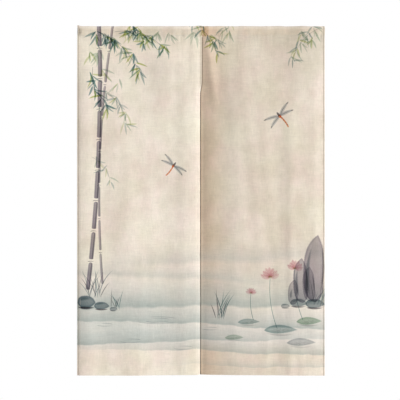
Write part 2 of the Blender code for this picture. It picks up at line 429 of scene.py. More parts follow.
# %% The outer face of a length
def outer_points(length):
    """The outer face of a length: positions by line across and line along."""
    nu, ns = len(ACROSS), len(ALONG)
    points = np.zeros((nu, ns, 3))
    hang = ALONG <= PANEL_RUN
    rise = np.clip(ALONG / PANEL_RUN, 0.0, 1.0)
    level = FOOT + rise * (SEAM - FOOT)
    left, right = length.left(level), length.right(level)
    share = ACROSS[:, None] / HALF
    x = left + share * (right - left)
    z = foot_z(x) + rise * (seam_z(x) - foot_z(x))
    points[:, :, 0] = x
    points[:, :, 1] = length.front(x, z)
    points[:, :, 2] = z
    from_side = np.minimum(ACROSS, HALF - ACROSS)
    over = ALONG[~hang] - PANEL_RUN
    for i in range(nu):
        at = x[i, -1]
        thick = HEM_THICK if from_side[i] < SIDE_HEM else CLOTH
        nested = float(ease(at, NEST_START, NEST_FULL)) if length.side < 0 else 0.0
        y_seam = float(length.front(at, seam_z(at)))
        path = pocket_path(NEST * nested, y_seam, thick, float(seam_z(at)), LAP_WRAP * nested)
        run = np.r_[0.0, np.cumsum(np.hypot(*np.diff(path, axis=0).T))]
        reach = over / POCKET_RUN * run[-1]
        points[i, ~hang, 1] = np.interp(reach, run, path[:, 0])
        points[i, ~hang, 2] = np.interp(reach, run, path[:, 1])
    return points


def grid_normals(points):
    """Outward normals of a grid of positions."""
    du = np.gradient(points, axis=0)
    ds = np.gradient(points, axis=1)
    normals = np.cross(du, ds)
    return normals / np.linalg.norm(normals, axis=2, keepdims=True)


# %% [markdown]
# Two corners have a shape of their own. At its outer end the left pocket stands open: the front
# layer is drawn in and dented, and the top corner stands up as an ear. The right length's lower
# outer corner has a short slanting crease, and its tip is lifted.


# %% The two corners
EAR_HEIGHT = 0.0035
DRAWN_IN = 0.0040
DENT_DEPTH = 0.0042
CORNER_CREASE = 0.0012
CORNER_LIFT = 0.0014


def open_the_mouth(length, points):
    if length.side > 0:
        return
    x, y, z = points[:, :, 0], points[:, :, 1], points[:, :, 2]
    on_pocket = ALONG[None, :] > PANEL_RUN
    ear = EAR_HEIGHT * ease(x, 0.018 - HALF, -HALF) * np.maximum(0.0, z) / POCKET_RADIUS
    front = on_pocket * ease(y, 0.001, -0.004)
    drawn = DRAWN_IN * hump(z, -0.006, 0.0070) * ease(x, 0.034 - HALF, -HALF) * front
    dent = DENT_DEPTH * hump(z, -0.009, 0.0080) * ease(x, 0.017 - HALF, 0.001 - HALF) * front
    points[:, :, 2] += ear * on_pocket
    points[:, :, 1] += dent
    points[:, :, 0] += drawn


def lift_the_corner(length, points):
    if length.side < 0:
        return
    x, z = points[:, :, 0], points[:, :, 2]
    slant = ((HALF - x) - (z - FOOT)) / math.sqrt(2)
    along = ((HALF - x) + (z - FOOT)) / math.sqrt(2)
    crease = CORNER_CREASE * hump(along, 0.0185, 0.0022) * hump(slant, 0.0, 0.010)
    tip = CORNER_LIFT * ease(along, 0.018, 0.002)
    points[:, :, 1] -= crease + tip


# %% The closed sheet
GROOVE = 0.00016


def build_sheet(length):
    """Outer and inner positions and outward normals of one length."""
    outer = outer_points(length)
    open_the_mouth(length, outer)
    lift_the_corner(length, outer)
    from_side = np.minimum(ACROSS, HALF - ACROSS)[:, None] + 0.0 * ALONG
    from_end = np.minimum(ALONG, ALONG[-1] - ALONG)[None, :] + 0.0 * ACROSS[:, None]
    run = ALONG[None, :] + 0.0 * ACROSS[:, None]
    from_outer = (ACROSS if length.side < 0 else HALF - ACROSS)[:, None] + 0.0 * ALONG
    normals = grid_normals(outer)
    outer += normals * unevenness(length, outer[:, :, 0], run, from_side)[:, :, None]
    normals = grid_normals(outer)

    side = 1 - ease(from_side, SIDE_HEM - 0.0002, SIDE_HEM + 0.0002)
    foot = 1 - ease(run, BOTTOM_HEM - 0.0002, BOTTOM_HEM + 0.0002)
    thick = CLOTH + (HEM_THICK - CLOTH) * np.maximum(side, foot)
    groove = GROOVE * np.maximum.reduce([
        hump(from_side, SIDE_HEM - STITCH_IN, 0.0005),
        hump(run, BOTTOM_HEM - STITCH_IN, 0.0005),
        hump(run, PANEL_RUN, 0.0009),
        hump(from_outer, PRESSED_IN, 0.0006),
    ])
    half = thick / 2
    from_edge = np.minimum(from_side, from_end)
    short = np.maximum(0.0, half - from_edge)
    rounding = half - np.sqrt(np.maximum(0.0, half ** 2 - short ** 2))
    face = outer - normals * (rounding + groove)[:, :, None]
    back = outer - normals * (thick - rounding - groove)[:, :, None]
    return face, back, normals


SHEETS = {length.name: build_sheet(length) for length in LENGTHS}
for name, (face, back, _) in SHEETS.items():
    print(name, "reaches from", face.min(axis=(0, 1)).round(4), "to", face.max(axis=(0, 1)).round(4))

# %% [markdown]
# ## From grids to a mesh
#
# The faces are listed by their place in the grid, which is the plain way to make a mesh from a
# height field. Each point also keeps its place on the flat cloth, in metres, because the weave
# and the print follow the cloth and not the room.


# %% Make the sheets
def flat_lines(length):
    """The flat place of each line of a length's grid, across and along."""
    start, end = (-HALF, SLIT_EDGE_BELOW) if length.side < 0 else (TUCKED_EDGE, HALF)
    return start + ACROSS / HALF * (end - start), FOOT + ALONG


def sheet_mesh(length):
    face, back, _ = SHEETS[length.name]
    nu, ns = face.shape[:2]
    ids = np.arange(nu * ns).reshape(nu, ns)
    inside = np.zeros((nu, ns), bool)
    inside[1:-1, 1:-1] = True
    back_ids = ids.copy()
    back_ids[inside] = nu * ns + np.arange(inside.sum())
    points = np.concatenate([face.reshape(-1, 3), back[inside]])

    def quads(grid, flipped):
        a, b, c, d = grid[:-1, :-1], grid[1:, :-1], grid[1:, 1:], grid[:-1, 1:]
        order = (a, d, c, b) if flipped else (a, b, c, d)
        return np.stack(order, axis=-1).reshape(-1, 4)

    faces = np.concatenate([quads(ids, False), quads(back_ids, True)])
    mesh = bpy.data.meshes.new(f"{length.name}_cloth")
    mesh.from_pydata(points.tolist(), [], faces.tolist())
    mesh.shade_smooth()

    across, along = flat_lines(length)
    flat = np.zeros((nu, ns, 3))
    flat[:, :, 0] = across[:, None]
    flat[:, :, 1] = along
    on_back = flat[inside] + np.array([0.0, 0.0, 1.0])
    attribute = mesh.attributes.new("flat", "FLOAT_VECTOR", "POINT")
    everything = np.concatenate([flat.reshape(-1, 3), on_back])
    attribute.data.foreach_set("vector", everything.astype(np.float32).ravel())
    tucked = mesh.attributes.new("tucked", "FLOAT", "POINT")
    tucked.data.foreach_set("value", np.full(len(everything), float(length.side > 0), np.float32))
    return mesh


# %% Two lengths of cloth
def add_object(name, data):
    thing = bpy.data.objects.new(name, data)
    bpy.context.scene.collection.objects.link(thing)
    return thing


cloth = {}
for length in LENGTHS:
    piece = add_object(f"{length.name}_cloth", sheet_mesh(length))
    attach(piece, "root")
    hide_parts(f"{length.name}_panel", f"{length.name}_rod_pocket")
    cloth[length.name] = piece
    print(piece.name, len(piece.data.polygons), "faces")

# %% [markdown]
# ## A printed picture from brush strokes
#
# The front carries a printed ink painting. An image would tie the cloth to one file and one size,
# so the picture is a list of brush strokes in metres on the flat cloth: each has a path, a half
# width, a shape and an ink. Every cell of the sheet keeps the few strokes that cross it, as
# numbers on its corners: how far along the stroke a corner is, and how far to its side. The
# material then draws the stroke sharply, however near one looks. The design is a plain one of
# this sheet's own: bamboo, lotus, reeds and two dragonflies by still water.
#
# A stroke's shape number says how fast it tapers: low for a leaf, high for an even band.

# %% Inks and strokes
Stroke = namedtuple("Stroke", "path width shape soft ink depth")
LEAF, PETAL, SLAB, BAND = 2, 3, 4, 24
TEAL = (0.10, 0.27, 0.29)
SAGE = (0.27, 0.44, 0.32)
YOUNG = (0.46, 0.56, 0.13)
INK = (0.07, 0.065, 0.09)
MAUVE = (0.30, 0.28, 0.36)
STONE = (0.14, 0.21, 0.26)
PINK = (0.78, 0.48, 0.55)
ROSE = (0.62, 0.25, 0.36)
ORANGE = (0.80, 0.27, 0.07)
WING = (0.40, 0.46, 0.52)
# Ink of the two wide strokes of painted shade near the top.
PAINTED_SHADE = (0.56, 0.53, 0.50)
PAINTING = []


def bow(start, end, reach):
    """A curved path between two places; reach is how far it bows, as a share of its length."""
    t = np.linspace(0.0, 1.0, 11)[:, None]
    start, end = np.array(start, float), np.array(end, float)
    side = np.array([start[1] - end[1], end[0] - start[0]])
    return start + t * (end - start) + 4 * reach * t * (1 - t) * side


def toward(start, angle, length):
    """The place that far away in a direction; 0 degrees is to the right and 90 up."""
    turn = math.radians(angle)
    return start[0] + length * math.cos(turn), start[1] + length * math.sin(turn)


def paint(path, width, shape=LEAF, soft=0.3, ink=INK, depth=0.8):
    PAINTING.append(Stroke(np.array(path), width, shape, soft, ink, depth))


print("a bowed path:", bow((0, 0), (1, 0), 0.1)[5], "in its middle")

# %% [markdown]
# A bamboo leaf is one press of a full brush: a blunt start, a long taper and a slight bend. Leaves
# come in sprays from a thin twig, nearer ones darker. Seeded chance gives each leaf its own
# length, lean and ink, so that no two are alike and every run paints the same picture.

# %% Bamboo
def spray(at, lean, count, size, seed, inks=(TEAL, TEAL, SAGE, YOUNG), depth=1.0, spread=62):
    """A fan of leaves that hangs from one place; lean is the fan's middle direction."""
    draw = random.Random(seed)
    for i in range(count):
        share = (i + 0.5) / count - 0.5
        angle = lean + 2 * spread * share + draw.uniform(-9, 9)
        root = toward(at, lean + 180, draw.uniform(-0.006, 0.018))
        length = size * draw.uniform(0.65, 1.15)
        path = bow(root, toward(root, angle, length), draw.uniform(-0.10, 0.10))
        ink = draw.choice(inks)
        width = size * draw.uniform(0.062, 0.090)
        paint(path, width, LEAF, 0.35, ink, depth * draw.uniform(0.6, 1.0))


def twig(start, end, reach, width=0.0011, ink=INK, depth=0.6):
    paint(bow(start, end, reach), width, BAND, 0.5, ink, depth)


def hanging_branch(start, end, reach, sprays, size, seed, depth=1.0):
    """A twig with sprays along its lower part, each hanging down a little to one side."""
    draw = random.Random(seed)
    path = bow(start, end, reach)
    paint(path, 0.0011, BAND, 0.5, INK, 0.6 * depth)
    for i in range(sprays):
        place = path[min(10, 2 + int(9 * i / max(1, sprays - 1)))]
        lean = 270 + (-1) ** i * draw.uniform(12, 42)
        spray(tuple(place), lean, draw.choice((4, 5, 5, 6)), size, seed * 31 + i, depth=depth)


def cane(foot, top, reach, width, joints, ink, depth):
    """A bamboo stem: lengths between joints, each with a dark ring at its top."""
    path = bow(foot, top, reach)
    run = np.linspace(0.0, 10.0, joints + 1)
    for a, b in zip(run[:-1], run[1:]):
        t = np.linspace(a + 0.05, b - 0.05, 5)
        part = np.stack([np.interp(t, range(11), path[:, k]) for k in range(2)], axis=1)
        paint(part, width, BAND, 0.45, ink, depth)
        shade = part + np.array([width * 0.45, 0.0])
        paint(shade, width * 0.5, BAND, 0.9, INK, depth * 0.50)
        x, z = part[-1]
        ring = bow((x - 1.25 * width, z + 0.001), (x + 1.25 * width, z + 0.001), 0.10)
        paint(ring, 0.0011, PETAL, 0.4, INK, min(1.0, depth * 1.1))


# %% Two canes and the branches over both lengths
cane((-0.389, -0.900), (-0.352, 0.040), -0.02, 0.0092, 9, MAUVE, 1.0)
cane((-0.338, -0.880), (-0.300, 0.040), 0.03, 0.0052, 8, MAUVE, 0.80)
for row in (
    ((-0.352, -0.010), (-0.215, -0.150), 0.10, 6, 0.050, 3),
    ((-0.300, -0.010), (-0.130, -0.070), 0.14, 6, 0.046, 4),
    ((-0.372, -0.130), (-0.325, -0.270), -0.12, 5, 0.048, 5),
    ((-0.352, -0.210), (-0.255, -0.330), 0.16, 5, 0.044, 6, 0.65),
    ((-0.374, -0.440), (-0.312, -0.520), 0.12, 3, 0.040, 7, 0.55),
    ((-0.250, 0.030), (-0.200, -0.045), 0.05, 4, 0.046, 8),
    ((-0.060, 0.035), (0.055, -0.080), 0.12, 5, 0.044, 9),
    ((0.120, 0.040), (0.060, -0.045), -0.12, 3, 0.040, 10, 0.6),
    ((0.420, 0.010), (0.315, -0.105), -0.12, 5, 0.044, 12, 0.7),
):
    hanging_branch(*row)
spray((-0.362, -0.020), 265, 7, 0.050, 21)
spray((-0.330, -0.030), 285, 7, 0.050, 22)
PALE = (SAGE, YOUNG, SAGE)
for k, (x, z, lean) in enumerate((
    (-0.380, -0.090, 285), (-0.355, -0.085, 250), (-0.300, -0.045, 275), (-0.265, -0.090, 255),
    (-0.240, -0.020, 265), (-0.190, -0.030, 280), (-0.150, -0.015, 255), (-0.110, -0.020, 290),
    (-0.335, -0.150, 300), (-0.285, -0.185, 262), (-0.030, -0.020, 262), (0.035, -0.035, 280),
    (0.095, -0.012, 262), (0.380, -0.040, 255), (0.345, -0.020, 280),
)):
    spray((x, z), lean, 5, 0.046, 200 + k, PALE, 0.62, 48)
print("strokes so far:", len(PAINTING))

# %% [markdown]
# The lotus stands in the water at the lower right. Its leaves are seen almost edge on, so each is
# a broad flat stroke with veins from its middle. A flower is a fan of petals, the outer ones lower.


# %% Lotus
def lotus_leaf(centre, reach, height, ink, depth):
    """A floating leaf: a broad stroke, its veins and a dark lower edge."""
    x, z = centre
    paint(bow((x - reach, z), (x + reach, z + 0.002), 0.03), height, LEAF, 0.25, ink, depth)
    low = z - 0.5 * height
    edge = bow((x - 0.9 * reach, low), (x + 0.9 * reach, low), -0.07)
    paint(edge, height * 0.28, LEAF, 0.8, INK, depth * 0.45)
    for angle in (20, 55, 95, 135, 165, 205, 250, 300, 340):
        turn = math.radians(angle)
        tip = (x + 0.82 * reach * math.cos(turn), z + 0.62 * height * math.sin(turn))
        paint(bow((x, z), tip, 0.05), 0.0009, LEAF, 0.6, INK, depth * 0.45)


def lotus_flower(centre, size, seed, lean=90):
    draw = random.Random(seed)
    for angle in (-72, 66, -48, 42, -22, 20, 0):
        tip = toward(centre, lean + angle, size * draw.uniform(0.85, 1.0))
        path = bow(centre, tip, 0.0016 * angle)
        paint(path, size * 0.24, PETAL, 0.35, PINK, draw.uniform(0.45, 0.75))
        paint(path[5:], size * 0.05, LEAF, 0.7, ROSE, 0.45)
    heart = bow(toward(centre, 180, size * 0.2), toward(centre, 0, size * 0.2), 0.15)
    paint(heart, size * 0.12, PETAL, 0.5, YOUNG, 0.7)


# %% [markdown]
# Standing stones are tall slabs with a pale and a dark side, and low ones are flat mounds. Reeds
# are thin strokes that fan out from one foot. Still water shows rings, drawn as two arcs each.


# %% Stones, reeds and rings on the water
def standing_stone(foot, head, width, depth):
    """A tall slab: its body, a lit left side and a dark right one."""
    paint(bow(foot, head, 0.05), width, SLAB, 0.12, MAUVE, depth)
    for left, right, low, high, reach, share, soft, ink, strength in (
        (-0.50, -0.45, 0.02, 0.03, 0.08, 0.30, 0.8, STONE, 0.8),
        (0.45, 0.25, 0.03, 0.02, -0.06, 0.16, 0.7, INK, 0.7),
    ):
        start = (foot[0] + left * width, foot[1] + low)
        end = (head[0] + right * width, head[1] - high)
        paint(bow(start, end, reach), width * share, LEAF, soft, ink, depth * strength)


def low_stone(centre, reach, height, depth):
    x, z = centre
    paint(bow((x - reach, z), (x + reach, z), 0.05), height, PETAL, 0.22, STONE, depth)
    top = bow((x - 0.8 * reach, z + 0.3 * height), (x + 0.5 * reach, z + 0.5 * height), 0.12)
    paint(top, height * 0.35, LEAF, 0.9, TEAL, depth * 0.7)
    low = z - 0.62 * height
    shade = bow((x - 0.95 * reach, low), (x + 0.95 * reach, low), -0.05)
    paint(shade, height * 0.26, LEAF, 0.5, INK, depth)


def reeds(foot, count, size, seed, depth=0.75):
    draw = random.Random(seed)
    for i in range(count):
        root = (foot[0] + draw.uniform(-0.020, 0.020), foot[1] + draw.uniform(-0.004, 0.004))
        angle = 90 + draw.uniform(-38, 38)
        tip = toward(root, angle, size * draw.uniform(0.5, 1.1))
        path = bow(root, tip, 0.004 * (90 - angle) * draw.uniform(0.4, 1.0))
        width = draw.uniform(0.0012, 0.0022)
        paint(path, width, LEAF, 0.5, draw.choice((INK, STONE, TEAL)), depth)


def ring(centre, reach, depth=0.5):
    """Two arcs of a flat ellipse of thin brush line."""
    for start, end in ((196, 344), (22, 120)):
        turns = np.radians(np.linspace(start, end, 21))
        across, up = reach * np.cos(turns), 0.16 * reach * np.sin(turns)
        paint(np.array(centre) + np.stack([across, up], 1), 0.0011, PETAL, 0.5, STONE, depth)


# %% The water's edge
for foot, head, width, depth in (
    ((0.392, -0.938), (0.402, -0.705), 0.036, 0.90),
    ((0.350, -0.940), (0.346, -0.785), 0.026, 0.84),
    ((0.318, -0.946), (0.322, -0.860), 0.018, 0.76),
    ((0.378, -0.935), (0.372, -0.815), 0.022, 0.70),
):
    standing_stone(foot, head, width, depth)
low_stone((0.392, -0.945), 0.034, 0.017, 0.85)
low_stone((0.335, -0.942), 0.030, 0.015, 0.75)
low_stone((0.290, -0.952), 0.016, 0.008, 0.65)
lotus_leaf((0.275, -1.035), 0.060, 0.017, TEAL, 0.70)
lotus_leaf((0.372, -1.005), 0.046, 0.015, SAGE, 0.80)
lotus_leaf((0.165, -1.008), 0.040, 0.011, TEAL, 0.60)
lotus_leaf((0.345, -1.078), 0.052, 0.015, STONE, 0.55)
lotus_leaf((0.115, -1.062), 0.034, 0.010, SAGE, 0.60)
for foot, head in (
    ((0.262, -1.03), (0.238, -0.850)),
    ((0.350, -1.00), (0.322, -0.820)),
    ((0.180, -1.00), (0.172, -0.905)),
):
    twig(foot, head, 0.06, 0.0014, TEAL, 0.75)
lotus_flower((0.238, -0.853), 0.040, 31, 96)
lotus_flower((0.322, -0.823), 0.034, 32, 84)
lotus_flower((0.172, -0.908), 0.022, 33)
reeds((0.060, -1.000), 13, 0.120, 41)
reeds((0.405, -0.950), 9, 0.105, 42, 0.65)
reeds((-0.365, -0.925), 14, 0.120, 43)
reeds((-0.290, -0.962), 7, 0.075, 44, 0.7)
low_stone((-0.392, -0.940), 0.032, 0.024, 0.95)
low_stone((-0.340, -0.952), 0.027, 0.014, 0.85)
low_stone((-0.300, -0.962), 0.014, 0.007, 0.75)
for centre, reach in (
    ((-0.150, -1.000), 0.045), ((-0.150, -1.000), 0.074), ((-0.240, -1.070), 0.040),
    ((-0.060, -1.095), 0.036), ((0.030, -1.030), 0.030), ((-0.330, -1.015), 0.030),
):
    ring(centre, reach)
print("strokes so far:", len(PAINTING))

# %% [markdown]
# A dragonfly is a body of short orange and dark strokes, two pairs of clear wings and a dark
# head. Two last strokes, very wide and soft, are painted shade that darkens the cloth in two
# places near the top where the leaves are.


# %% Dragonflies
def dragonfly(centre, heading, size, seed):
    draw = random.Random(seed)
    tail = toward(centre, heading + 180, size * 0.72)
    chest = toward(centre, heading, size * 0.12)
    for side in (-1, 1):
        for turn, reach in ((72, 0.86), (104, 0.78)):
            tip = toward(centre, heading + side * (turn + draw.uniform(-5, 5)), size * reach)
            path = bow(centre, tip, -0.05 * side)
            paint(path, size * 0.100, PETAL, 0.45, WING, 0.70)
            paint(path, size * 0.020, LEAF, 0.6, INK, 0.70)
            paint(path[8:], size * 0.045, PETAL, 0.5, INK, 0.55)
    body = bow(centre, tail, 0.06)
    paint(body, size * 0.045, BAND, 0.4, ORANGE, 1.0)
    for i in (2, 4, 6, 8):
        across = toward(tuple(body[i]), heading + 90, size * 0.045)
        other = toward(tuple(body[i]), heading - 90, size * 0.045)
        paint(bow(across, other, 0.1), size * 0.020, PETAL, 0.5, INK, 0.85)
    thorax = bow(toward(centre, heading + 180, size * 0.10), chest, 0.0)
    paint(thorax, size * 0.085, PETAL, 0.35, ORANGE, 1.0)
    head = bow(centre, toward(chest, heading, size * 0.14), 0.0)
    paint(head, size * 0.065, PETAL, 0.4, INK, 0.95)


dragonfly((0.270, -0.300), 128, 0.068, 51)
dragonfly((-0.095, -0.470), 52, 0.060, 52)
# Two wide soft strokes of painted shade near the top, one on each length.
for place, width in ((-0.145, 0.115), (0.330, 0.130)):
    paint(bow((place, 0.160), (place, -0.260), 0.0), width, SLAB, 0.95, PAINTED_SHADE, 0.26)
print("strokes in all:", len(PAINTING))

# %% [markdown]
# Each stroke is now laid on the cells. For every corner near it, the nearest part of its path
# gives two numbers: the share along the path and the distance to its side in half widths. A cell
# has room for eight strokes, and where more cross it, the faintest is left out.

# %% Beside a stroke
def beside(path, width, points):
    """Share along a path and signed distance to its side, in half widths, for many points."""
    run = np.r_[0.0, np.cumsum(np.hypot(*np.diff(path, axis=0).T))]
    best = np.full(points.shape[:-1], np.inf)
    share = np.zeros(points.shape[:-1])
    off = np.zeros(points.shape[:-1])
    last = len(path) - 2
    for k in range(last + 1):
        step = path[k + 1] - path[k]
        length = np.hypot(*step)
        along = (points - path[k]) @ step / length
        aside = (points - path[k]) @ np.array([-step[1], step[0]]) / length
        low = -np.inf if k == 0 else 0.0
        high = np.inf if k == last else length
        held = np.clip(along, low, high)
        distance = np.hypot(aside, along - held)
        nearer = distance < best
        best = np.where(nearer, distance, best)
        share = np.where(nearer, (run[k] + held) / run[-1], share)
        off = np.where(nearer, aside, off)
    return share, off / width


trial = beside(np.array([[0.0, 0.0], [1.0, 0.0]]), 0.5, np.array([0.25, 0.1]))
print("a point beside a trial stroke: share, side", *(round(float(value), 2) for value in trial))


# %% Lay the strokes on the cells
SLOTS = 8
FAR_OFF = 9.0
REACH = 1.15


def lay_strokes(length):
    """For each cell and slot: the stroke's two numbers at four corners, its shape and its ink."""
    across, along = flat_lines(length)
    cells = (len(across) - 1, len(along) - 1)
    place = np.zeros(cells + (SLOTS, 4, 3), np.float32)
    place[..., 1] = FAR_OFF
    ink = np.zeros(cells + (SLOTS, 4), np.float32)
    filled = np.zeros(cells, int)
    left_out = 0
    for stroke in sorted(PAINTING, key=lambda one: -one.depth):
        low = stroke.path.min(axis=0) - 1.2 * stroke.width
        high = stroke.path.max(axis=0) + 1.2 * stroke.width
        i0, i1 = np.searchsorted(across, (low[0], high[0]))
        j0, j1 = np.searchsorted(along, (low[1], high[1]))
        i0, j0 = max(0, i0 - 1), max(0, j0 - 1)
        i1, j1 = min(cells[0], i1), min(cells[1], j1)
        if i1 <= i0 or j1 <= j0:
            continue
        grid = np.stack(np.meshgrid(across[i0:i1 + 1], along[j0:j1 + 1], indexing="ij"), axis=-1)
        share, off = beside(stroke.path, stroke.width, grid)
        four = [(slice(0, -1), slice(0, -1)), (slice(1, None), slice(0, -1)),
                (slice(1, None), slice(1, None)), (slice(0, -1), slice(1, None))]
        s = np.stack([share[one] for one in four], axis=-1)
        t = np.stack([off[one] for one in four], axis=-1)
        crosses = (s.max(-1) > 0) & (s.min(-1) < 1) & (t.max(-1) > -REACH) & (t.min(-1) < REACH)
        for i, j in zip(*np.nonzero(crosses)):
            slot = filled[i0 + i, j0 + j]
            if slot >= SLOTS:
                left_out += 1
                continue
            place[i0 + i, j0 + j, slot, :, 0] = s[i, j]
            place[i0 + i, j0 + j, slot, :, 1] = t[i, j]
            place[i0 + i, j0 + j, slot, :, 2] = stroke.shape + stroke.soft
            ink[i0 + i, j0 + j, slot] = (*stroke.ink, stroke.depth)
            filled[i0 + i, j0 + j] += 1
    print(length.name, "cells with paint:", int((filled > 0).sum()), "places left out:", left_out)
    return place, ink


# %% Keep the strokes on the face corners
def store_strokes(length, mesh):
    """Writes the strokes on the face corners, the same for a cell's outer and inner face."""
    place, ink = lay_strokes(length)
    for slot in range(SLOTS):
        outer = place[:, :, slot].reshape(-1, 4, 3)
        inner = outer[:, [0, 3, 2, 1]]
        both = np.concatenate([outer, inner]).reshape(-1, 3)
        colours = np.repeat(ink[:, :, slot].reshape(-1, 4), 4, axis=0)
        stroke_place = mesh.attributes.new(f"stroke_{slot}", "FLOAT_VECTOR", "CORNER")
        stroke_place.data.foreach_set("vector", both.ravel())
        stroke_ink = mesh.attributes.new(f"ink_{slot}", "FLOAT_COLOR", "CORNER")
        stroke_ink.data.foreach_set("color", np.concatenate([colours, colours]).ravel())


for length in LENGTHS:
    store_strokes(length, cloth[length.name].data)

# %% [markdown]
# ## Helpers for shader nodes
#
# A material is a graph of small nodes. A Graph adds nodes to one material or one group: each call
# adds a node and gives back its output, so the parts below read like sums. A value may be a plain
# number, a colour or another node's output.


# %% Node helpers
class Graph:
    """Adds nodes to one node tree."""

    def __init__(self, tree):
        self.tree = tree

    def node(self, kind, **settings):
        made = self.tree.nodes.new(f"ShaderNode{kind}")
        for name, value in settings.items():
            setattr(made, name, value)
        return made

    def feed(self, socket, value):
        """Links an output to a socket, or sets the socket's own value; a colour gets its alpha."""
        if isinstance(value, bpy.types.NodeSocket):
            self.tree.links.new(value, socket)
        else:
            socket.default_value = (*value, 1.0) if socket.type == "RGBA" else value

    def feed_all(self, sockets, values):
        for socket, value in zip(sockets, values):
            self.feed(socket, value)

    def calc(self, operation, *values):
        node = self.node("Math", operation=operation)
        self.feed_all(node.inputs, values)
        return node.outputs[0]

    def product(self, first, *others):
        for other in others:
            first = self.calc("MULTIPLY", first, other)
        return first

    def total(self, first, *others):
        for other in others:
            first = self.calc("ADD", first, other)
        return first

    def less(self, first, second):
        return self.calc("SUBTRACT", first, second)

    def scaled(self, value, factor, start):
        """The start value plus a factor times the value."""
        return self.calc("MULTIPLY_ADD", value, factor, start)

    def span(self, value, low, high, out_low=0.0, out_high=1.0, smooth=True):
        """Maps low to high onto out_low to out_high, held at both ends."""
        node = self.node("MapRange", interpolation_type="SMOOTHSTEP" if smooth else "LINEAR")
        self.feed_all(node.inputs, (value, low, high, out_low, out_high))
        return node.outputs[0]

    def vector(self, operation, first, second):
        node = self.node("VectorMath", operation=operation)
        self.feed_all(node.inputs, (first, second))
        return node.outputs[0]

    def noise(self, place, scale, detail=2.0, roughness=0.5, shift=(0.0, 0.0, 0.0)):
        """Smooth noise from 0 to 1; scale is in cells a metre across, along and through."""
        node = self.node("TexNoise")
        moved = self.vector("ADD", place, shift) if any(shift) else place
        self.feed(node.inputs["Vector"], self.vector("MULTIPLY", moved, scale))
        for name, value in (("Scale", 1.0), ("Detail", detail), ("Roughness", roughness)):
            self.feed(node.inputs[name], value)
        return node.outputs["Fac"]

    def blend(self, share, first, second, mode="MIX"):
        node = self.node("Mix", data_type="RGBA", blend_type=mode)
        self.feed_all((node.inputs[0], node.inputs[6], node.inputs[7]), (share, first, second))
        return node.outputs[2]

    def tint(self, share, colour, by):
        """Multiplies a colour by another one, as a dye, a stain or wear changes cloth."""
        return self.blend(share, colour, by, "MULTIPLY")

    def parts(self, vector):
        node = self.node("SeparateXYZ")
        self.feed(node.inputs[0], vector)
        return node.outputs

    def attribute(self, name):
        return self.node("Attribute", attribute_name=name).outputs

    def place(self, group, **values):
        """Adds a group and feeds its inputs by their names."""
        node = self.node("Group", node_tree=group)
        for name, value in values.items():
            self.feed(node.inputs[name], value)
        return node.outputs


print("node helpers:", ", ".join(name for name in vars(Graph) if not name.startswith("_")))


# %% New groups and materials
def new_group(name, inputs, outputs):
    """A shader node group with named sockets; kinds are Float, Vector and Color."""
    tree = bpy.data.node_groups.new(name, "ShaderNodeTree")
    for side, sockets in (("INPUT", inputs), ("OUTPUT", outputs)):
        for socket, kind in sockets.items():
            tree.interface.new_socket(socket, in_out=side, socket_type=f"NodeSocket{kind}")
    given, result = (tree.nodes.new(f"NodeGroup{side}") for side in ("Input", "Output"))
    return Graph(tree), given.outputs, result.inputs


def new_material(name):
    """A material with its own Principled shader."""
    material = bpy.data.materials.new(name)
    material.use_nodes = True
    graph = Graph(material.node_tree)
    return material, graph, material.node_tree.nodes["Principled BSDF"]


# %% [markdown]
# ## Linen-look weave
#
# The cloth is a plain weave of uneven yarn. Each thread is a rounded ridge that goes over and
# under its neighbours, and here and there a yarn is thicker for a few centimetres, which is the
# slub that makes it look like linen. The group gives the tone and the height of all of this.

# %% Weave group
SLUB_NOISES = (((300, 38, 1), 2.0), ((34, 280, 1), 2.0), ((150, 26, 1), 1.0), ((24, 160, 1), 1.0))
SLUB_MEAN = len(SLUB_NOISES) / 2

weave, given, result = new_group(
    "linen_weave",
    {"Place": "Vector", "Thread": "Float", "Slub": "Float"},
    {"Tone": "Float", "Height": "Float", "Mottle": "Float"},
)
flat = given["Place"]
wander = weave.product(weave.less(weave.noise(flat, (160, 160, 1), 1.0), 0.5), 1.6)
waves_of = {}
for name, along in zip("uv", weave.parts(flat)):
    turns = weave.product(weave.calc("DIVIDE", along, given["Thread"]), math.pi)
    waves_of[name] = weave.total(turns, wander)
ridge_u, ridge_v = (weave.calc("ABSOLUTE", weave.calc("SINE", waves_of[name])) for name in "uv")
over = weave.product(*(weave.calc("COSINE", waves_of[name]) for name in "uv"))
warp = weave.product(ridge_u, weave.scaled(over, 0.35, 0.65))
weft = weave.product(ridge_v, weave.scaled(over, -0.35, 0.65))
threads = weave.calc("MAXIMUM", warp, weft)
slubs = weave.total(*(weave.noise(flat, scale, detail) for scale, detail in SLUB_NOISES))
blotches = weave.less(weave.noise(flat, (150, 150, 1), 4.0, 0.7), 0.5)
slubs = weave.scaled(blotches, 1.6, weave.less(slubs, SLUB_MEAN))
yarns = weave.total(*(weave.noise(flat, scale, 1.0) for scale in ((950, 30, 1), (30, 950, 1))))
tone = weave.scaled(weave.less(threads, 0.6), 0.14, 1.0)
tone = weave.scaled(weave.less(yarns, 1.0), 0.16, tone)
weave.feed(result["Tone"], weave.scaled(slubs, given["Slub"], tone))
weave.feed(result["Height"], weave.scaled(slubs, 0.8, threads))
weave.feed(result["Mottle"], weave.noise(flat, (19, 13, 1), 3.0, 0.6))
print("nodes in the weave group:", len(weave.tree.nodes))

# %% [markdown]
# ## Brush strokes and washes in the material
#
# The stroke group turns a stroke's two numbers into a mark. Its width swells and tapers along it,
# its edge is a little ragged, pigment gathers at the rim as in watercolour, and the brush runs
# dry towards the end. Ink darkens the cloth by multiplying its colour, as a printed dye does. A
# wash is a level band that is sharp below and fades upwards, for mist and still water.

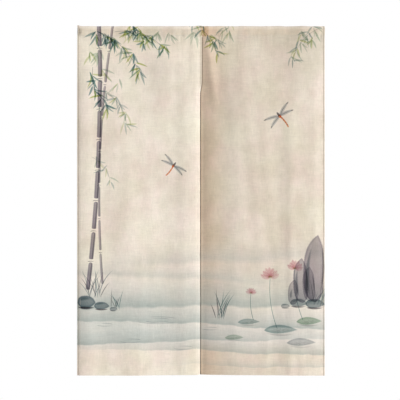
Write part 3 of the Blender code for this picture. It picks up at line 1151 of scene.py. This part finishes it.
# %% Stroke group
stroke, given, result = new_group(
    "brush_stroke",
    {"Cloth": "Color", "Stroke": "Vector", "Ink": "Color", "Depth": "Float", "Grain": "Float"},
    {"Cloth": "Color"},
)
share, aside, kind = stroke.parts(given["Stroke"])
pressed = stroke.calc("POWER", stroke.calc("MAXIMUM", share, 0.0), 0.8)
from_middle = stroke.calc("ABSOLUTE", stroke.scaled(pressed, 2.0, -1.0))
shape, soft = stroke.calc("FLOOR", kind), stroke.calc("FRACT", kind)
width = stroke.less(1.0, stroke.calc("POWER", from_middle, shape))
inside = stroke.less(width, stroke.calc("ABSOLUTE", aside))
ragged = stroke.scaled(given["Grain"], 0.16, inside)
mark = stroke.span(ragged, 0.0, soft)
core = stroke.span(ragged, soft, stroke.product(soft, 3.0))
pooled = stroke.scaled(core, -0.22, 1.10)
dry = stroke.scaled(share, -0.18, 1.0)
load = stroke.scaled(given["Grain"], 0.35, stroke.product(pooled, dry))
amount = stroke.product(mark, load, given["Depth"])
stroke.feed(result["Cloth"], stroke.tint(amount, given["Cloth"], given["Ink"]))
print("nodes in the stroke group:", len(stroke.tree.nodes))

# %% Wash group
wash, given, result = new_group(
    "wash_band",
    {"Cloth": "Color", "Place": "Vector", "Height": "Float", "Slope": "Float", "Sharp": "Float",
     "Fade": "Float", "From": "Float", "To": "Float", "Ink": "Color", "Depth": "Float"},
    {"Cloth": "Color"},
)
x, z, _ = wash.parts(given["Place"])
rolling = wash.less(wash.noise(given["Place"], (6, 0.6, 0), 3.0, 0.55, (3.1, 1.7, 0.0)), 0.5)
middle = wash.scaled(rolling, 0.045, wash.scaled(x, given["Slope"], given["Height"]))
above = wash.less(z, middle)
sharp = wash.span(above, 0.0, given["Sharp"])
fading = wash.less(1.0, wash.span(above, 0.0, given["Fade"], smooth=False))
reach = wash.span(x, given["From"], given["To"])
cloudy = wash.scaled(wash.noise(given["Place"], (7, 22, 0), 3.0, 0.6), 0.9, 0.55)
amount = wash.product(sharp, wash.calc("POWER", fading, 1.4), reach, given["Depth"], cloudy)
wash.feed(result["Cloth"], wash.blend(amount, given["Cloth"], given["Ink"]))
print("nodes in the wash group:", len(wash.tree.nodes))

# %% [markdown]
# ## The printed cloth
#
# The ground of the print is warm off-white with faint pink, yellow and darker clouds. The right
# length is a little darker, with painted shade, more brown, beside the slit, and right under the
# left pocket painted light makes the cloth lighter. The washes and the strokes lie on it. The inner
# face shows the print only faintly, because the dye doesn't go all the way through.

# %% Ground of the print, with painted shade and light
CREAM = (0.742, 0.664, 0.561)
PINKISH = (0.760, 0.653, 0.569)
YELLOWISH = (0.728, 0.667, 0.545)


def ground_colour(graph, flat, mottle):
    """Cream with pink and yellow clouds, darker ones of two sizes, and all evened out again."""
    ground = graph.blend(graph.span(mottle, 0.35, 0.68), CREAM, PINKISH)
    clouds = graph.noise(flat, (9, 7, 1), 2.0, shift=(5.0, 2.0, 0.0))
    ground = graph.blend(graph.span(clouds, 0.4, 0.7), ground, YELLOWISH)
    small = graph.noise(flat, (24, 17, 1), 3.0, 0.6, (1.3, 4.1, 0.0))
    ground = graph.tint(graph.span(small, 0.36, 0.66), ground, (0.935, 0.925, 0.910))
    large = graph.noise(flat, (8, 6, 1), 2.0, shift=(7.2, 0.6, 0.0))
    ground = graph.tint(graph.span(large, 0.38, 0.64), ground, (0.925, 0.910, 0.890))
    return graph.tint(1.0, ground, (1.065, 1.073, 1.087))


def ground_by_place(graph, ground, x, z, on_right, on_left):
    """A darker right length, painted light under the left pocket and painted shade by the slit."""
    deeper = graph.product(on_right, graph.span(x, 0.44, 0.28, 0.30, 1.0))
    ground = graph.tint(deeper, ground, (0.893, 0.876, 0.853))
    # Painted light: lighter right under the left pocket, lifting the pocket's shade.
    below_seam = graph.span(z, SEAM + 0.004, SEAM - 0.004)
    painted_light = graph.product(graph.span(z, -0.150, -0.080), below_seam, on_left)
    ground = graph.tint(painted_light, ground, (1.090, 1.090, 1.085))
    # Painted shade, more brown, on the right length beside the slit.
    warm_painted_shade = graph.product(on_right, graph.span(x, 0.115, 0.015))
    return graph.tint(warm_painted_shade, ground, (0.975, 0.885, 0.805))


# %% Washes and strokes on the ground
Wash = namedtuple("Wash", "Height Slope Sharp Fade From To Ink Depth")
FAR_MIST = (0.44, 0.44, 0.39)
WATER = (0.27, 0.325, 0.305)
PALE_WATER = (0.69, 0.650, 0.602)
COOL_WATER = (0.50, 0.53, 0.49)
WASHES = (
    Wash(-1.120, 0.00, 0.060, 0.420, -0.90, -0.60, PALE_WATER, 0.85),
    Wash(-1.100, 0.00, 0.060, 0.300, 0.20, -0.25, COOL_WATER, 0.95),
    Wash(-0.815, 0.05, 0.030, 0.080, -0.45, -0.10, FAR_MIST, 0.70),
    Wash(-0.870, -0.04, 0.020, 0.060, 0.45, 0.02, FAR_MIST, 0.75),
    Wash(-0.960, 0.02, 0.012, 0.110, -0.90, -0.40, WATER, 0.75),
    Wash(-1.018, -0.03, 0.006, 0.080, -0.90, -0.40, WATER, 0.70),
    Wash(-1.075, 0.03, 0.005, 0.060, 0.80, 0.00, WATER, 0.70),
    Wash(-1.110, -0.02, 0.005, 0.055, -0.60, 0.10, WATER, 0.60),
    Wash(-1.160, 0.00, 0.004, 0.030, -0.20, 0.20, WATER, 0.40),
)
SHOWN_ON_BACK = 0.30


def print_on(graph, colour, flat, side):
    """Lays the washes and then the strokes on the ground, fainter on the inner face."""
    through = graph.span(side, 0.2, 0.8, 1.0, SHOWN_ON_BACK)
    for band in WASHES:
        values = band._asdict()
        values["Depth"] = graph.product(through, band.Depth)
        colour = graph.place(wash.tree, Cloth=colour, Place=flat, **values)["Cloth"]
    grain = graph.less(graph.noise(flat, (330, 330, 1), 3.0, 0.6), 0.5)
    for slot in range(SLOTS):
        ink = graph.attribute(f"ink_{slot}")
        colour = graph.place(
            stroke.tree, Cloth=colour, Stroke=graph.attribute(f"stroke_{slot}")["Vector"],
            Ink=ink["Color"], Depth=graph.product(ink["Alpha"], through), Grain=grain,
        )["Cloth"]
    return colour


print("washes:", len(WASHES), "strokes a cell:", SLOTS)

# %% [markdown]
# Folded edges are pressed, and painted shade lays a darker line along the outer ones, where they
# roll away from the light, and soft shade over the left length's outer hem. At the slit a painted
# shadow lies on the right length beside the left edge. The left edge itself has painted shade near
# the top, where it laps further over, and a painted highlight below. The fold over the rod has a
# patchy yellower band, and where the two pockets overlap and are sewn together, painted shade
# makes the cloth more brown.


# %% Painted shade and light at the edges, the slit and the pocket
def shade_the_folded_edges(graph, colour, x):
    """Painted shade: darker lines along the folded edges, and soft shade over the left outer hem."""
    to_edge = graph.less(HALF, graph.calc("ABSOLUTE", x))
    off_line = graph.calc("ABSOLUTE", graph.less(to_edge, PRESSED_IN))
    line = graph.span(off_line, 0.0016, 0.0004, 0.0, 0.85)
    shade = graph.span(graph.total(x, HALF), 0.046, 0.004, 0.0, 0.17, smooth=False)
    return graph.tint(graph.calc("MAXIMUM", line, shade), colour, (0.46, 0.41, 0.36))


def shadow_beside_the_slit(graph, colour, x, z, on_right, in_front):
    """Painted shadow: a dark line on the right length by the left one's edge, soft on its far side.
    """
    slit_x = graph.span(z, SLIT_STEP_FOOT, SLIT_STEP_TOP, SLIT_EDGE_BELOW, SLIT_EDGE_TOP)
    from_slit = graph.less(x, slit_x)
    slit_shadow = graph.product(
        graph.span(from_slit, 0.0050, 0.0007, smooth=False), graph.span(z, SEAM, SEAM - 0.004),
        graph.span(from_slit, -0.0022, -0.0008), on_right, in_front,
        graph.span(z, SLIT_STEP_TOP, SLIT_STEP_FOOT, 0.78, 1.0),
    )
    return graph.tint(slit_shadow, colour, (0.10, 0.085, 0.08))


def shade_and_light_the_left_edge(graph, colour, x, z, on_left):
    """The left length's slit edge: painted shade down to the step in it, a painted highlight below.
    """
    # Painted shade on the edge strip above the step.
    near_edge = graph.span(x, SLIT_EDGE_BELOW - 0.0080, SLIT_EDGE_BELOW - 0.0050)
    hangs = graph.span(z, SEAM, SEAM - 0.004)
    darker = graph.product(near_edge, hangs, on_left, graph.span(z, -0.205, -0.185))
    colour = graph.tint(darker, colour, (0.80, 0.77, 0.73))
    # Painted highlight on the edge strip below the step.
    at_edge = graph.span(x, SLIT_EDGE_BELOW - 0.0045, SLIT_EDGE_BELOW - 0.0025)
    painted_light = graph.product(at_edge, on_left, graph.span(z, -0.190, -0.215))
    return graph.tint(painted_light, colour, (1.12, 1.12, 1.12))


def shade_and_tint_the_pocket(graph, colour, flat, x, z):
    """Painted shade where the pockets overlap, and a patchy yellower band on the rod's front."""
    blots = graph.span(graph.noise(flat, (110, 110, 1), 3.0), 0.35, 0.65, 0.45, 1.0)
    # Painted shade, more brown and blotchy, where the two pockets overlap.
    overlap_shade = graph.product(
        graph.span(x, -0.014, -0.006), graph.span(x, 0.030, 0.020),
        graph.span(z, SEAM - 0.003, SEAM + 0.004), blots,
    )
    colour = graph.tint(overlap_shade, colour, (0.74, 0.62, 0.49))
    band = graph.product(graph.span(z, SEAM + 0.001, SEAM + 0.009), graph.span(z, 0.0030, 0.0012))
    patchy = graph.span(graph.noise(flat, (55, 70, 1), 3.0, 0.7), 0.30, 0.70, 0.35, 1.0)
    return graph.tint(graph.product(band, patchy), colour, (1.030, 0.995, 0.945))


# %% Cloth material
THREAD_SPACING = 0.00105


def add_bump(graph, shader, height, distance, strength=1.0):
    bump = graph.node("Bump")
    for name, value in (("Height", height), ("Distance", distance), ("Strength", strength)):
        graph.feed(bump.inputs[name], value)
    graph.feed(shader.inputs["Normal"], bump.outputs[0])


def cloth_material():
    material, graph, shader = new_material("printed_linen_look")
    flat = graph.attribute("flat")["Vector"]
    x, z, side = graph.parts(flat)
    on_right = graph.attribute("tucked")["Fac"]
    on_left = graph.less(1.0, on_right)
    in_front = graph.span(side, 0.8, 0.2)
    woven = graph.place(weave.tree, Place=flat, Thread=THREAD_SPACING, Slub=0.095)

    colour = ground_colour(graph, flat, woven["Mottle"])
    colour = ground_by_place(graph, colour, x, z, on_right, on_left)
    colour = print_on(graph, colour, flat, side)
    colour = shade_the_folded_edges(graph, colour, x)
    colour = shadow_beside_the_slit(graph, colour, x, z, on_right, in_front)
    colour = shade_and_light_the_left_edge(graph, colour, x, z, on_left)
    colour = shade_and_tint_the_pocket(graph, colour, flat, x, z)
    colour = graph.tint(1.0, colour, woven["Tone"])

    finish = {"Base Color": colour, "Roughness": 0.92, "Sheen Weight": 0.12, "Sheen Roughness": 0.5}
    for name, value in finish.items():
        graph.feed(shader.inputs[name], value)
    add_bump(graph, shader, woven["Height"], 0.00030, 0.55)
    return material


printed_linen_look = cloth_material()
for piece in cloth.values():
    piece.data.materials.append(printed_linen_look)
print("nodes in the cloth material:", len(printed_linen_look.node_tree.nodes))

# %% [markdown]
# ## Stitches
#
# Real stitches hold the hems and the pocket. One stitch is 3 mm of thread: a small six-sided
# cylinder cut by a ring in its middle, whose ends are narrowed and bent down, so that it dives
# into the cloth. It is modelled once and copied along each line, every 4 mm, on both faces.

# %% One stitch
STITCH_LENGTH = 0.0031
STITCH_PITCH = 0.0040
THREAD_RADIUS = 0.00030


def model_stitch():
    deselect()
    bpy.ops.mesh.primitive_cylinder_add(
        vertices=6, radius=THREAD_RADIUS, depth=STITCH_LENGTH, rotation=(0, math.pi / 2, 0),
    )
    stitch = bpy.context.active_object
    bpy.ops.object.transform_apply(location=False, rotation=True, scale=False)
    bpy.ops.object.mode_set(mode="EDIT")
    bpy.ops.mesh.select_all(action="SELECT")
    bpy.ops.mesh.bisect(plane_co=(0, 0, 0), plane_no=(1, 0, 0))
    bpy.ops.object.mode_set(mode="OBJECT")
    for vert in stitch.data.vertices:
        from_middle = abs(vert.co.x) / (STITCH_LENGTH / 2)
        narrow = 1.0 - 0.45 * from_middle
        vert.co.y *= narrow
        vert.co.z = vert.co.z * narrow - THREAD_RADIUS * 0.9 * from_middle ** 2
    points = np.array([vert.co for vert in stitch.data.vertices])
    faces = [tuple(face.vertices) for face in stitch.data.polygons]
    bpy.data.objects.remove(stitch)
    return points, faces


STITCH_POINTS, STITCH_FACES = model_stitch()
print("a stitch has", len(STITCH_POINTS), "points and", len(STITCH_FACES), "faces")


# %% Lines of stitches
def stitch_line(points, normals, start=0.006):
    """Copies of the stitch along a line of points, each turned to the line and the cloth."""
    run = np.r_[0.0, np.cumsum(np.linalg.norm(np.diff(points, axis=0), axis=1))]
    middles = np.arange(start, run[-1] - 0.004, STITCH_PITCH)

    def at(values, where):
        return np.stack([np.interp(where, run, values[:, k]) for k in range(3)], axis=1)

    along = at(points, middles + STITCH_LENGTH / 2) - at(points, middles - STITCH_LENGTH / 2)
    along /= np.linalg.norm(along, axis=1, keepdims=True)
    up = at(normals, middles)
    aside = np.cross(up, along)
    aside /= np.linalg.norm(aside, axis=1, keepdims=True)
    up = np.cross(along, aside)
    turn = np.stack([along, aside, up], axis=1)
    place = at(points, middles) + up * THREAD_RADIUS * 0.45
    return (np.einsum("pk,nkx->npx", STITCH_POINTS, turn) + place[:, None, :]).reshape(-1, 3)


# %% Where the stitches run
def nearest(lines, value):
    return int(np.abs(lines - value).argmin())


def stitch_lines(name):
    """All stitched lines of a length: hems on both faces, and the pocket in front and behind."""
    face, back, normals = SHEETS[name]
    foot = nearest(ALONG, BOTTOM_HEM - STITCH_IN)
    seam = nearest(ALONG, PANEL_RUN)
    tail = nearest(ALONG, PANEL_RUN + POCKET_RUN - TAIL)
    columns = [nearest(ACROSS, at) for at in (SIDE_HEM - STITCH_IN, HALF - SIDE_HEM + STITCH_IN)]
    rows = slice(foot, seam)
    lines = []
    for column in columns:
        lines.append(stitch_line(face[column, rows], normals[column, rows]))
        lines.append(stitch_line(back[column, rows], -normals[column, rows]))
    inner = slice(columns[0], columns[1] + 1)
    lines.append(stitch_line(face[inner, foot], normals[inner, foot]))
    lines.append(stitch_line(back[inner, foot], -normals[inner, foot]))
    lines.append(stitch_line(face[:, seam], normals[:, seam]))
    lines.append(stitch_line(face[:, tail], normals[:, tail]))
    return lines


# %% Thread and stitching
def thread_material():
    material, graph, shader = new_material("cream_thread")
    twist = graph.noise(graph.node("TexCoord").outputs["Object"], (900, 900, 900))
    colour = graph.blend(twist, (0.60, 0.52, 0.42), (0.84, 0.76, 0.65))
    graph.feed(shader.inputs["Base Color"], colour)
    graph.feed(shader.inputs["Roughness"], 0.6)
    add_bump(graph, shader, twist, 0.0001)
    return material


cream_thread = thread_material()
for name in SHEETS:
    points = np.concatenate(stitch_lines(name))
    size = len(STITCH_POINTS)
    starts = range(0, len(points), size)
    faces = [tuple(start + k for k in face) for start in starts for face in STITCH_FACES]
    mesh = bpy.data.meshes.new(f"{name}_stitching")
    mesh.from_pydata(points.tolist(), [], faces)
    mesh.shade_smooth()
    mesh.materials.append(cream_thread)
    piece = add_object(f"{name}_stitching", mesh)
    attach(piece, "root")
    print(piece.name, len(starts), "stitches")

# %% [markdown]
# ## Camera, light and floor
#
# The photograph looks straight at the front from far away, so a long lens stands 5 m off, level
# with the middle of the cloth.

# %% Camera
FRAME_WIDTH = 1.374
DISTANCE = 5.0
SENSOR = 36.0
AIM_X = -0.0033
AIM_RISE = 0.0028

camera_data = bpy.data.cameras.new("camera")
camera_data.sensor_width = SENSOR
camera_data.lens = SENSOR * DISTANCE / FRAME_WIDTH
camera = add_object("camera", camera_data)
camera.location = (AIM_X, -DISTANCE, CENTRE_Z + AIM_RISE)
camera.rotation_euler = (math.radians(90), 0, 0)
bpy.context.scene.camera = camera
print("lens:", round(camera_data.lens), "mm at", DISTANCE, "m")

# %% [markdown]
# A large light far off at the front right, almost level with the cloth, shades the folds. A
# second one high above brightens what faces up, such as the top of the pocket, and a third lights
# the back. Far lights keep the brightness even over the whole cloth.


# %% Lights
def around(azimuth, elevation, distance):
    """A place round the middle of the cloth; azimuth 0 is straight in front and 90 to the right."""
    a, e = math.radians(azimuth), math.radians(elevation)
    across, away = math.sin(a) * math.cos(e), -math.cos(a) * math.cos(e)
    return distance * across, distance * away, distance * math.sin(e) + CENTRE_Z


def area_light(name, place, size, power):
    """A square soft light that faces the middle of the cloth."""
    data = bpy.data.lights.new(name, "AREA")
    data.size = size
    data.energy = power
    light = add_object(name, data)
    light.location = place
    aim = Vector((0.0, 0.0, CENTRE_Z)) - Vector(place)
    light.rotation_euler = aim.to_track_quat("-Z", "Y").to_euler()
    return light


for light in (
    area_light("key", around(50, 3, 15.0), 4.0, 2520),
    area_light("ceiling", around(0, 76, 11.0), 4.0, 680),
    area_light("back_fill", around(205, 25, 9.0), 3.0, 900),
):
    print(light.name, light.data.energy, "W at", [round(value, 1) for value in light.location])

# %% [markdown]
# The plain white surroundings fill the shade a little. They are brighter to the camera than to
# the cloth, as a lit white wall far behind would be. The floor lies well below the picture.

# %% Surroundings and floor
SEEN, FILL = 1.0, 0.06
FLOOR_DROP = 3.0
FLOOR_RADIUS = 4.5

world = bpy.data.worlds.new("surroundings")
world.use_nodes = True
world.node_tree.nodes.clear()
graph = Graph(world.node_tree)
choose = graph.node("MixShader")
graph.feed(choose.inputs["Fac"], graph.node("LightPath").outputs["Is Camera Ray"])
for socket, strength in ((choose.inputs[1], FILL), (choose.inputs[2], SEEN)):
    background = graph.node("Background")
    graph.feed_all(background.inputs, ((1.0, 1.0, 1.0), strength))
    graph.feed(socket, background.outputs[0])
graph.feed(graph.node("OutputWorld").inputs["Surface"], choose.outputs[0])
bpy.context.scene.world = world
bpy.context.scene.view_settings.view_transform = "Standard"

deselect()
bpy.ops.mesh.primitive_circle_add(
    vertices=64, radius=FLOOR_RADIUS, fill_type="NGON", location=(0, 0, -FLOOR_DROP),
)
floor = bpy.context.active_object
floor.name = "floor"
pale_floor, graph, shader = new_material("pale_floor")
graph.feed(shader.inputs["Base Color"], (0.9, 0.9, 0.89))
graph.feed(shader.inputs["Roughness"], 0.8)
floor.data.materials.append(pale_floor)
print("floor:", FLOOR_DROP, "m below the rod")
